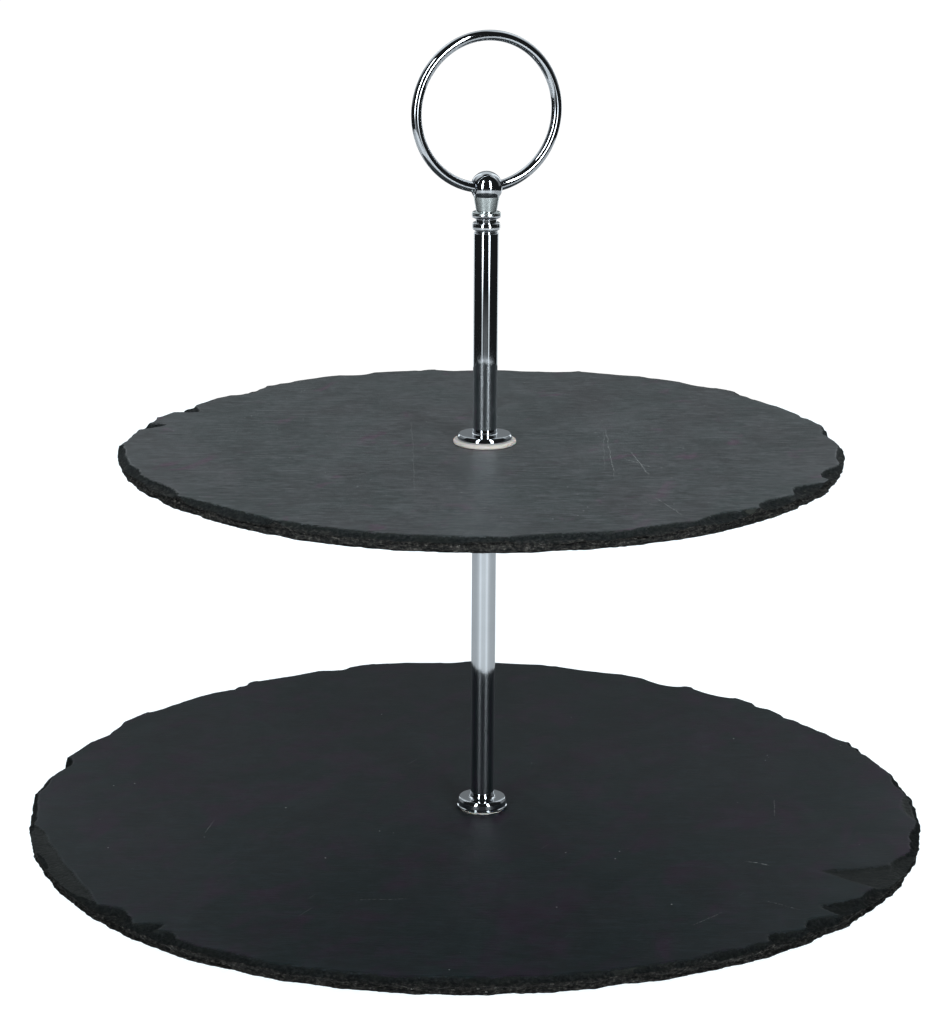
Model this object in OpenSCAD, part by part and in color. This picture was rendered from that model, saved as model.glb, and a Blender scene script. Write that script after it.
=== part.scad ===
// Two-tier cake stand: slate plates on a screwed-together centre post with a ring handle.
// +Z is up. The origin is on the post's axis, at the level of the surface the stand rests on.
// The ring handle swings about an axis along X.

/* [Plates] */
// Mean diameter of the lower plate
lower_plate_d = 300; // [260:5:340]
// Mean diameter of the upper plate
upper_plate_d = 234; // [200:2:260]
// Thickness of both plates
plate_t = 5; // [4:0.5:6]
// Diameter of the hole through each plate
plate_hole_d = 8; // [6:0.5:10]
// How far the lower plate's middle lies behind the post, along Y
lower_plate_shift = 7.5; // [0:0.5:8]
// Points round each hand-trimmed outline
outline_points = 120; // [60:20:180]

/* [Posts] */
// Outer diameter of both post tubes
tube_d = 8; // [8:0.5:9]
// Wall of both post tubes
tube_wall = 1; // [1:0.1:1.2]
// Length of the lower post
lower_post_h = 120; // [80:5:160]
// Length of the upper post's tube
upper_post_h = 68.5; // [50:0.5:100]

/* [Flanges and washers] */
// Diameter of the flange at the foot of the lower post
lower_flange_d = 16.2; // [14:0.2:20]
// Diameter of the flange at the foot of the upper post
upper_flange_d = 18; // [14:0.2:20]
// Diameter of the soft washer that shows under the upper flange
upper_washer_d = 20.8; // [20.4:0.2:24]
// Thickness of the soft washer under the upper flange
upper_washer_t = 1.2; // [0.8:0.1:2]
// Thickness of the hidden soft washers
soft_t = 0.8; // [0.5:0.1:1]
// Thickness of the hidden metal washers
metal_t = 0.8; // [0.5:0.1:0.9]
// Diameter of the washers under each plate
under_washer_d = 18; // [14:0.5:22]

/* [Finial and ring] */
// Diameter of the ball that the ring passes through
ball_d = 10; // [9:0.5:12]
// Diameter of the ring's wire
wire_d = 3.4; // [2.6:0.1:3.6]
// Outer diameter of the ring
ring_outer_d = 52; // [44:1:60]

/* [Feet] */
// Height of the rubber feet
foot_h = 4; // [4:0.5:8]
// Diameter of the rubber feet
foot_d = 14; // [10:1:20]
// Distance of each foot from the plate's middle
foot_reach = 105; // [90:5:120]

/* [Hidden] */
$fn = 64;

// Gaps on each side: parts pressed together, threads, and the ring in its bore
press_gap = 0.02;
thread_gap = 0.05;
pivot_gap = 0.06;
// How far a cutting shape runs past the faces it cuts
past = 1;

// Preview colours
chrome = [0.8, 0.81, 0.83];
cast_chrome = [0.78, 0.79, 0.81];
tube_chrome = [0.75, 0.76, 0.78];
zinc_steel = [0.65, 0.66, 0.67];
brass = [0.72, 0.6, 0.32];
cream = [0.93, 0.91, 0.84];
rubber = [0.1, 0.1, 0.1];
grey_slate = [0.29, 0.31, 0.32];
dark_slate = [0.17, 0.19, 0.2];

// Threads are drawn as rings of the right pitch: M5 through the plates, M4 under the finial
m5_d = 5;
m5_pitch = 0.8;
m4_d = 4;
m4_pitch = 0.7;
thread_depth = 0.3;

// Heights of the stack, from the floor up
lower_plate_z = foot_h;
lower_top_z = lower_plate_z + plate_t;
lower_post_z = lower_top_z + soft_t;
lower_post_top_z = lower_post_z + lower_post_h;
under_soft_z = lower_post_top_z + metal_t;
upper_plate_z = under_soft_z + soft_t;
upper_top_z = upper_plate_z + plate_t;
upper_post_z = upper_top_z + upper_washer_t;
upper_tube_top_z = upper_post_z + upper_post_h;

// Turned shape between the tube and the ball
ferrule_cone_h = 0.7;
ferrule_cone_low_d = tube_d - 0.4;
ferrule_cone_top_d = tube_d - 0.8;
ferrule_bead_h = 2.8;
ferrule_bead_d = 9;
neck_h = 1.3;
neck_d = 6.9;
finial_bead_h = 2.1;
finial_bead_d = 9.4;
finial_cone_h = 6.1;
finial_cone_low_d = 6.7;
finial_cone_top_d = 8.6;
ball_cut = 1.8;
ferrule_top_z = upper_tube_top_z + ferrule_cone_h + ferrule_bead_h;
finial_bead_z = ferrule_top_z + neck_h;
finial_cone_z = finial_bead_z + finial_bead_h;
ball_z = finial_cone_z + finial_cone_h + ball_cut;

// Flange shapes
lower_flange_h = 2.3;
lower_lip_h = 0.9;
lower_lip_d = lower_flange_d + 0.7;
upper_flange_h = 1.8;
flange_edge = 0.6;
collar_low_d = tube_d + 2;
collar_top_d = tube_d + 0.4;
collar_h = 1;

// Inserts, studs and screw
tube_bore_d = tube_d - 2 * tube_wall;
insert_d = tube_bore_d - 2 * press_gap;
insert_h = 14;
ferrule_spigot_h = 6;
stud_engage = 8;
handle_stud_h = 14;
handle_socket_h = 7;
handle_stud_gap = 0.5;
screw_h = 18;
screw_head_d = 10;
screw_head_h = 1.9;
screw_head_rim_h = 0.9;
screw_slot_w = 1.1;
screw_slot_l = 5;
screw_slot_depth = 1;
soft_washer_hole_d = 5.6;
metal_washer_hole_d = 5.4;
base_washer_t = 0.6;
metal_washer_d = under_washer_d - 2;
lower_washer_d = lower_flange_d - 1;
foot_chamfer = 1;
first_foot_angle = 45;
foot_step_angle = 90;

// The ring is a plain round loop, so its arc rises a little inside the straight bore of the
// ball, and the bore is wider by that rise
ring_r = (ring_outer_d - wire_d) / 2;
ring_rise = ring_r - sqrt(pow(ring_r, 2) - pow(ball_d / 2, 2));
ring_centre_z = ball_z + ring_r - ring_rise / 2;
ring_bore_d = wire_d + ring_rise + 2 * pivot_gap;

// Hand-trimmed outlines: [height, count round the plate, angle] of each lobe,
// and [angle, half width in degrees, depth] of each chip broken out of the rim
lower_lobes = [[1, 1, 100], [1, 2, -89], [1.8, 3, 79], [0.4, 4, -26], [0.4, 5, 0]];
lower_chips = [[13, 4, 2], [37, 4, 4], [73, 3, 2], [87, 4, 3], [105, 4, 3], [133, 3, 1.5],
    [145, 4, 2.5], [265, 3, 1.5]];
upper_lobes = [[1.3, 2, 13], [0.5, 3, 31], [0.9, 5, 27], [0.7, 6, -23]];
upper_chips = [[26, 4, 2.5], [58, 5, 2], [73, 3, 1.5], [91, 4, 2.5], [118, 5, 2.5],
    [216, 3, 1], [345, 4, 1.5]];

function turn_between(a, b) = abs((a - b + 540) % 360 - 180);
function sum_of(list, i = 0) = i < len(list) ? list[i] + sum_of(list, i + 1) : 0;
function lobe(a, l) = l[0] * cos(l[1] * (a - l[2]));
function chip(a, c) = c[2] * max(0, 1 - turn_between(a, c[0]) / c[1]);
function rim(a, r, lobes, chips) =
    r + sum_of([for (l = lobes) lobe(a, l)]) - sum_of([for (c = chips) chip(a, c)]);

module slate(d, shift, lobes, chips) {
    difference() {
        translate([0, shift, 0])
            linear_extrude(plate_t)
                polygon([for (i = [0 : outline_points - 1])
                    let (a = i * 360 / outline_points, r = rim(a, d / 2, lobes, chips))
                    [r * cos(a), r * sin(a)]]);
        translate([0, 0, -past])
            cylinder(h = plate_t + 2 * past, d = plate_hole_d);
    }
}

module washer(d, hole, t) {
    difference() {
        cylinder(h = t, d = d);
        translate([0, 0, -past])
            cylinder(h = t + 2 * past, d = hole);
    }
}

// A rod with a ring-shaped groove for each turn of its thread
module threaded_rod(d, pitch, h) {
    root_r = d / 2 - thread_depth;
    turns = floor(h / pitch);
    rotate_extrude()
        polygon(concat([[0, 0]],
            [for (i = [0 : turns - 1]) each
                [[root_r, i * pitch], [d / 2, (i + 0.5) * pitch]]],
            [[root_r, turns * pitch], [root_r, h], [0, h]]));
}

// A disc whose rim is round, for the turned beads
module bead(d, h) {
    cylinder(h = h, d = d - h);
    translate([0, 0, h / 2])
        rotate_extrude()
            translate([d / 2 - h / 2, 0])
                circle(d = h);
}

module tube(h) {
    difference() {
        cylinder(h = h, d = tube_d);
        translate([0, 0, -past])
            cylinder(h = h + 2 * past, d = tube_bore_d);
    }
}

module insert(thread_d) {
    difference() {
        cylinder(h = insert_h, d = insert_d);
        translate([0, 0, -past])
            cylinder(h = insert_h + 2 * past, d = thread_d + 2 * thread_gap);
    }
}

// A flange pressed over the foot of a tube, with a sloping collar round the tube
module flange(d, h) {
    difference() {
        union() {
            cylinder(h = h - flange_edge, d = d);
            translate([0, 0, h - flange_edge])
                cylinder(h = flange_edge, d1 = d, d2 = d - 2 * flange_edge);
            translate([0, 0, h])
                cylinder(h = collar_h, d1 = collar_low_d, d2 = collar_top_d);
        }
        translate([0, 0, -past])
            cylinder(h = h + collar_h + 2 * past, d = tube_d + 2 * press_gap);
    }
}

module foot(n) {
    a = first_foot_angle + foot_step_angle * (n - 1);
    color(rubber)
        translate([foot_reach * cos(a), foot_reach * sin(a) + lower_plate_shift, 0]) {
            cylinder(h = foot_chamfer, d1 = foot_d - 2 * foot_chamfer, d2 = foot_d);
            translate([0, 0, foot_chamfer])
                cylinder(h = foot_h - foot_chamfer, d = foot_d);
        }
}

module ring_handle() {
    color(chrome)
        translate([0, 0, ring_centre_z])
            rotate([90, 0, 0])
                rotate_extrude()
                    translate([ring_r, 0])
                        circle(d = wire_d);
}

module finial() {
    color(cast_chrome)
        difference() {
            union() {
                translate([0, 0, ball_z])
                    sphere(d = ball_d);
                translate([0, 0, finial_cone_z])
                    cylinder(h = finial_cone_h, d1 = finial_cone_low_d, d2 = finial_cone_top_d);
                translate([0, 0, finial_bead_z])
                    bead(finial_bead_d, finial_bead_h);
                translate([0, 0, ferrule_top_z])
                    cylinder(h = neck_h, d = neck_d);
            }
            translate([0, 0, ball_z])
                rotate([0, 90, 0])
                    cylinder(h = ball_d + 2 * past, d = ring_bore_d, center = true);
            translate([0, 0, ferrule_top_z - past])
                cylinder(h = handle_socket_h + past, d = m4_d + 2 * thread_gap);
        }
}

module handle_stud() {
    color(zinc_steel)
        translate([0, 0, ferrule_top_z + handle_socket_h - handle_stud_gap - handle_stud_h])
            threaded_rod(m4_d, m4_pitch, handle_stud_h);
}

module post_ferrule() {
    color(chrome)
        translate([0, 0, upper_tube_top_z])
            difference() {
                union() {
                    translate([0, 0, -ferrule_spigot_h])
                        cylinder(h = ferrule_spigot_h + ferrule_cone_h, d = insert_d);
                    cylinder(h = ferrule_cone_h, d1 = ferrule_cone_low_d, d2 = ferrule_cone_top_d);
                    translate([0, 0, ferrule_cone_h])
                        bead(ferrule_bead_d, ferrule_bead_h);
                }
                translate([0, 0, -ferrule_spigot_h - past])
                    cylinder(h = ferrule_top_z - upper_tube_top_z + ferrule_spigot_h + 2 * past,
                        d = m4_d + 2 * thread_gap);
            }
}

module upper_post_tube() {
    color(tube_chrome)
        translate([0, 0, upper_post_z])
            tube(upper_post_h);
}

module upper_post_insert() {
    color(brass)
        translate([0, 0, upper_post_z])
            insert(m5_d);
}

module upper_flange() {
    color(chrome)
        translate([0, 0, upper_post_z])
            flange(upper_flange_d, upper_flange_h);
}

module upper_soft_washer() {
    color(cream)
        translate([0, 0, upper_top_z])
            washer(upper_washer_d, soft_washer_hole_d, upper_washer_t);
}

module upper_plate() {
    color(grey_slate)
        translate([0, 0, upper_plate_z])
            slate(upper_plate_d, 0, upper_lobes, upper_chips);
}

module under_soft_washer() {
    color(cream)
        translate([0, 0, under_soft_z])
            washer(under_washer_d, soft_washer_hole_d, soft_t);
}

module under_metal_washer() {
    color(zinc_steel)
        translate([0, 0, lower_post_top_z])
            washer(metal_washer_d, metal_washer_hole_d, metal_t);
}

module joining_stud() {
    color(zinc_steel)
        translate([0, 0, lower_post_top_z - stud_engage])
            threaded_rod(m5_d, m5_pitch, upper_post_z - lower_post_top_z + 2 * stud_engage);
}

module lower_post_tube() {
    color(tube_chrome)
        translate([0, 0, lower_post_z])
            tube(lower_post_h);
}

module lower_top_insert() {
    color(brass)
        translate([0, 0, lower_post_top_z - insert_h])
            insert(m5_d);
}

module lower_bottom_insert() {
    color(brass)
        translate([0, 0, lower_post_z])
            insert(m5_d);
}

module lower_flange() {
    color(chrome)
        translate([0, 0, lower_post_z]) {
            translate([0, 0, lower_lip_h])
                flange(lower_flange_d, lower_flange_h);
            washer(lower_lip_d, tube_d + 2 * press_gap, lower_lip_h);
        }
}

module lower_soft_washer() {
    color(cream)
        translate([0, 0, lower_top_z])
            washer(lower_washer_d, soft_washer_hole_d, soft_t);
}

module lower_plate() {
    color(dark_slate)
        translate([0, 0, lower_plate_z])
            slate(lower_plate_d, lower_plate_shift, lower_lobes, lower_chips);
}

module base_soft_washer() {
    color(cream)
        translate([0, 0, lower_plate_z - soft_t])
            washer(under_washer_d, soft_washer_hole_d, soft_t);
}

module base_metal_washer() {
    color(zinc_steel)
        translate([0, 0, lower_plate_z - soft_t - base_washer_t])
            washer(metal_washer_d, metal_washer_hole_d, base_washer_t);
}

// Pan head with a crossed slot, and a shank up into the lower post
module base_screw() {
    dome_h = screw_head_h - screw_head_rim_h;
    color(zinc_steel)
        translate([0, 0, lower_plate_z - soft_t - base_washer_t]) {
            threaded_rod(m5_d, m5_pitch, screw_h);
            difference() {
                union() {
                    translate([0, 0, -screw_head_rim_h])
                        cylinder(h = screw_head_rim_h, d = screw_head_d);
                    translate([0, 0, -screw_head_h])
                        cylinder(h = dome_h, d1 = screw_head_d - 2 * dome_h, d2 = screw_head_d);
                }
                for (turn = [0, 90])
                    rotate([0, 0, turn])
                        translate([-screw_slot_l / 2, -screw_slot_w / 2, -screw_head_h - past])
                            cube([screw_slot_l, screw_slot_w, screw_slot_depth + past]);
            }
        }
}

ring_handle();
finial();
handle_stud();
post_ferrule();
upper_post_tube();
upper_post_insert();
upper_flange();
upper_soft_washer();
upper_plate();
under_soft_washer();
under_metal_washer();
joining_stud();
lower_post_tube();
lower_top_insert();
lower_bottom_insert();
lower_flange();
lower_soft_washer();
lower_plate();
base_soft_washer();
base_metal_washer();
base_screw();
foot(1);  // foot_1
foot(2);  // foot_2
foot(3);  // foot_3
foot(4);  // foot_4
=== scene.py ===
import math

import bmesh
import bpy
import numpy as np
from mathutils import Matrix, Vector


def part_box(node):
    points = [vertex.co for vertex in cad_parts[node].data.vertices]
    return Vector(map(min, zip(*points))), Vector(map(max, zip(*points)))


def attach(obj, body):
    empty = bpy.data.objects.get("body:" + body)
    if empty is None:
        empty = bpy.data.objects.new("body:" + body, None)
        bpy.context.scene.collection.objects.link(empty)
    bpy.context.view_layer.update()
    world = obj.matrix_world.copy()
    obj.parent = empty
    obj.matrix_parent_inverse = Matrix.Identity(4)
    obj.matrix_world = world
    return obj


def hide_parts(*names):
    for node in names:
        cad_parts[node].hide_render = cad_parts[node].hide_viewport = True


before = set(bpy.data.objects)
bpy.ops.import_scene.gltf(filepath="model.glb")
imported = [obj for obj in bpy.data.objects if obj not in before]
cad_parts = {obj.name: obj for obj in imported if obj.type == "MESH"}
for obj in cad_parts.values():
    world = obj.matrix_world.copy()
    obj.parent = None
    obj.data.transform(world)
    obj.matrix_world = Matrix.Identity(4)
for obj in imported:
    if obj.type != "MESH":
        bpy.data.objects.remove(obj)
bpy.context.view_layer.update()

MM = 0.001
TAU = 2 * math.pi


# ---------------------------------------------------------------- camera

VIEW_FROM = -23  # degrees about the post, counted from -Y towards +X
CAM_AZIMUTH = math.radians(VIEW_FROM)
CAM_DOWN = math.radians(14.94)
CAM_ROLL = math.radians(0.42)
CAM_DISTANCE = 0.924
CAM_HEIGHT = 0.3600
CAM_LENS = 101.6
CAM_SHIFT = (-0.0095, -0.002)

camera = bpy.data.objects.new("camera", bpy.data.cameras.new("camera"))
bpy.context.scene.collection.objects.link(camera)
camera.data.lens = CAM_LENS
camera.data.sensor_width = 36
camera.data.shift_x, camera.data.shift_y = CAM_SHIFT
camera.data.clip_start, camera.data.clip_end = 0.01, 50
camera.matrix_world = (
    Matrix.Translation((CAM_DISTANCE * math.sin(CAM_AZIMUTH),
                        -CAM_DISTANCE * math.cos(CAM_AZIMUTH), CAM_HEIGHT))
    @ Matrix.Rotation(CAM_AZIMUTH, 4, "Z")
    @ Matrix.Rotation(math.pi / 2 - CAM_DOWN, 4, "X")
    @ Matrix.Rotation(CAM_ROLL, 4, "Z"))
bpy.context.scene.camera = camera
bpy.context.scene.view_settings.view_transform = "Standard"


# ---------------------------------------------------------------- node helpers

class Nodes:
    """A node tree with short calls for the nodes that the materials use."""

    def __init__(self, tree):
        self.tree = tree
        tree.nodes.clear()

    def add(self, kind, **settings):
        node = self.tree.nodes.new("ShaderNode" + kind)
        for key, value in settings.items():
            setattr(node, key, value)
        return node

    def put(self, socket, value):
        if isinstance(value, bpy.types.NodeSocket):
            self.tree.links.new(value, socket)
        elif value is not None:
            socket.default_value = value

    def math(self, operation, a, b=None, clamp=False):
        node = self.add("Math", operation=operation, use_clamp=clamp)
        for socket, value in zip(node.inputs, (a, b)):
            self.put(socket, value)
        return node.outputs[0]

    def mix(self, share, a, b, blend="MIX"):
        node = self.add("Mix", data_type="RGBA", blend_type=blend)
        self.put(node.inputs[0], share)
        self.put(node.inputs[6], a)
        self.put(node.inputs[7], b)
        return node.outputs[2]

    def ramp(self, value, *stops):
        node = self.add("ValToRGB")
        elements = node.color_ramp.elements
        while len(elements) < len(stops):
            elements.new(0.5)
        for element, (place, colour) in zip(elements, stops):
            element.position = place
            element.color = (*colour, 1)
        self.put(node.inputs[0], value)
        return node.outputs[0]

    def span(self, value, low, high, to_low=0.0, to_high=1.0):
        node = self.add("MapRange", clamp=True)
        for socket, v in zip(node.inputs, (value, low, high, to_low, to_high)):
            self.put(socket, v)
        return node.outputs[0]

    def coords(self, scale=(1, 1, 1), turn=(0, 0, 0), shift=(0, 0, 0)):
        place = self.add("TexCoord").outputs["Object"]
        turned = self.add("Mapping", vector_type="POINT")
        self.put(turned.inputs["Vector"], place)
        turned.inputs["Rotation"].default_value = turn
        turned.inputs["Location"].default_value = shift
        scaled = self.add("Mapping", vector_type="POINT")
        self.put(scaled.inputs["Vector"], turned.outputs[0])
        scaled.inputs["Scale"].default_value = scale
        return scaled.outputs[0]

    def noise(self, vector, scale, detail=3.0, rough=0.5, distort=0.0):
        node = self.add("TexNoise")
        self.put(node.inputs["Vector"], vector)
        for key, value in (("Scale", scale), ("Detail", detail), ("Roughness", rough),
                           ("Distortion", distort)):
            node.inputs[key].default_value = value
        return node.outputs["Fac"]

    def cells(self, vector, scale, out="Distance"):
        node = self.add("TexVoronoi", feature="F1")
        self.put(node.inputs["Vector"], vector)
        node.inputs["Scale"].default_value = scale
        return node.outputs[out]

    def bump(self, height, distance, strength=1.0, normal=None):
        node = self.add("Bump")
        self.put(node.inputs["Height"], height)
        node.inputs["Distance"].default_value = distance
        node.inputs["Strength"].default_value = strength
        self.put(node.inputs["Normal"], normal)
        return node.outputs[0]

    def principled(self, **values):
        shader = self.add("BsdfPrincipled")
        names = {"color": "Base Color", "metallic": "Metallic", "roughness": "Roughness",
                 "specular": "Specular IOR Level", "normal": "Normal", "coat": "Coat Weight",
                 "coat_roughness": "Coat Roughness", "coat_normal": "Coat Normal",
                 "subsurface": "Subsurface Weight", "subsurface_scale": "Subsurface Scale"}
        for key, value in values.items():
            if isinstance(value, tuple) and len(value) == 3:
                value = (*value, 1)
            self.put(shader.inputs[names[key]], value)
        out = self.add("OutputMaterial")
        self.tree.links.new(shader.outputs[0], out.inputs[0])
        return shader


def new_material(name):
    material = bpy.data.materials.new(name)
    material.use_nodes = True
    return material, Nodes(material.node_tree)


# ---------------------------------------------------------------- materials

def chrome(name, tone, rough, grain, pits=0.0, satin=None):
    """Bright plating: a little uneven in gloss, with fine wiping marks and, on castings, pits.
    satin: lowest and highest height of a part of it that is left unpolished."""
    material, n = new_material(name)
    place = n.coords()
    cloudy = n.noise(place, 90, 3)
    wiped = n.noise(n.coords(scale=(1, 1, 0.15)), 2600, 2)
    colour = n.mix(n.span(cloudy, 0.35, 0.7), tuple(0.95 * t for t in tone) + (1,), tone + (1,))
    height = n.math("MULTIPLY", wiped, grain)
    if pits:
        pit = n.span(n.cells(place, 420), 0.0, 0.16, 1.0, 0.0)
        few = n.span(n.noise(place, 130, 2), 0.56, 0.62)
        height = n.math("SUBTRACT", height, n.math("MULTIPLY", n.math("MULTIPLY", pit, few), pits))
    wave = n.noise(n.coords(scale=(1, 1, 0.35)), 60, 1)
    height = n.math("ADD", height, n.math("MULTIPLY", wave, 0.25))
    gloss = n.span(cloudy, 0.3, 0.75, rough * 0.8, rough * 1.5)
    if satin:
        level = n.add("SeparateXYZ")
        n.put(level.inputs[0], place)
        band = n.math("MULTIPLY", n.math("GREATER_THAN", level.outputs[2], satin[0]),
                      n.math("LESS_THAN", level.outputs[2], satin[1]))
        gloss = n.math("ADD", gloss, n.math("MULTIPLY", band, n.span(cloudy, 0.3, 0.7, 0.13, 0.22)))
        colour = n.mix(band, colour, n.mix(n.noise(place, 700, 4, 0.6), (0.50, 0.54, 0.53, 1),
                                           (0.62, 0.66, 0.65, 1)))
    n.principled(color=colour, metallic=1.0, roughness=gloss, normal=n.bump(height, 0.00004))
    return material


def zinc():
    material, n = new_material("zinc_plate")
    place = n.coords()
    patch = n.cells(place, 700, "Color")
    spangle = n.add("SeparateColor")
    n.put(spangle.inputs[0], patch)
    grain = n.noise(place, 1500, 3)
    shade = n.mix(spangle.outputs[0], (0.42, 0.43, 0.43, 1), (0.58, 0.59, 0.57, 1))
    n.principled(color=shade, metallic=1.0, roughness=n.span(grain, 0.3, 0.7, 0.26, 0.42),
                 normal=n.bump(grain, 0.00002))
    return material


def brass():
    material, n = new_material("turned_brass")
    rings = n.noise(n.coords(scale=(0.05, 0.05, 1)), 5200, 2)
    tarnish = n.noise(n.coords(), 260, 4)
    shade = n.mix(n.span(tarnish, 0.4, 0.7), (0.78, 0.58, 0.27, 1), (0.55, 0.38, 0.16, 1))
    n.principled(color=shade, metallic=1.0, roughness=n.span(tarnish, 0.3, 0.8, 0.22, 0.42),
                 normal=n.bump(rings, 0.00003))
    return material


def plastic():
    material, n = new_material("soft_plastic")
    place = n.coords()
    mottled = n.noise(place, 240, 4)
    speckle = n.noise(place, 2600, 2)
    shade = n.mix(n.span(mottled, 0.35, 0.7), (0.80, 0.725, 0.67, 1), (0.73, 0.65, 0.59, 1))
    shade = n.mix(n.span(speckle, 0.62, 0.75, 0.0, 0.35), shade, (0.5, 0.46, 0.38, 1))
    n.principled(color=shade, roughness=n.span(speckle, 0.3, 0.7, 0.42, 0.6), subsurface=0.15,
                 subsurface_scale=0.001, normal=n.bump(speckle, 0.00008))
    return material


def rubber():
    material, n = new_material("moulded_rubber")
    place = n.coords()
    pebble = n.cells(place, 1400)
    dust = n.noise(place, 300, 5)
    shade = n.mix(n.span(dust, 0.5, 0.8, 0.0, 0.6), (0.012, 0.012, 0.013, 1), (0.05, 0.048, 0.045, 1))
    n.principled(color=shade, roughness=n.span(dust, 0.3, 0.8, 0.55, 0.8),
                 normal=n.bump(pebble, 0.00006))
    return material


def scratches(n, marks, wobble):
    """Where the listed scratches lie: [x, y, x, y, half width, strength] in millimetres, 0 to 1."""
    place = n.add("SeparateXYZ")
    n.put(place.inputs[0], wobble)
    x, y = place.outputs[0], place.outputs[1]
    total = None
    for x0, y0, x1, y1, half, strength in marks:
        length = math.hypot(x1 - x0, y1 - y0)
        ux, uy = (x1 - x0) / length, (y1 - y0) / length
        dx = n.math("SUBTRACT", x, x0 * MM)
        dy = n.math("SUBTRACT", y, y0 * MM)
        along = n.math("ADD", n.math("MULTIPLY", dx, ux), n.math("MULTIPLY", dy, uy))
        across = n.math("ABSOLUTE", n.math("SUBTRACT", n.math("MULTIPLY", dx, uy),
                                           n.math("MULTIPLY", dy, ux)))
        middle = n.math("ABSOLUTE", n.math("SUBTRACT", along, length * MM / 2))
        mark = n.math("MULTIPLY", n.span(across, 0, half * MM, strength, 0),
                      n.span(middle, length * MM * 0.3, length * MM / 2, 1, 0))
        total = mark if total is None else n.math("MAXIMUM", total, mark)
    return total


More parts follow.
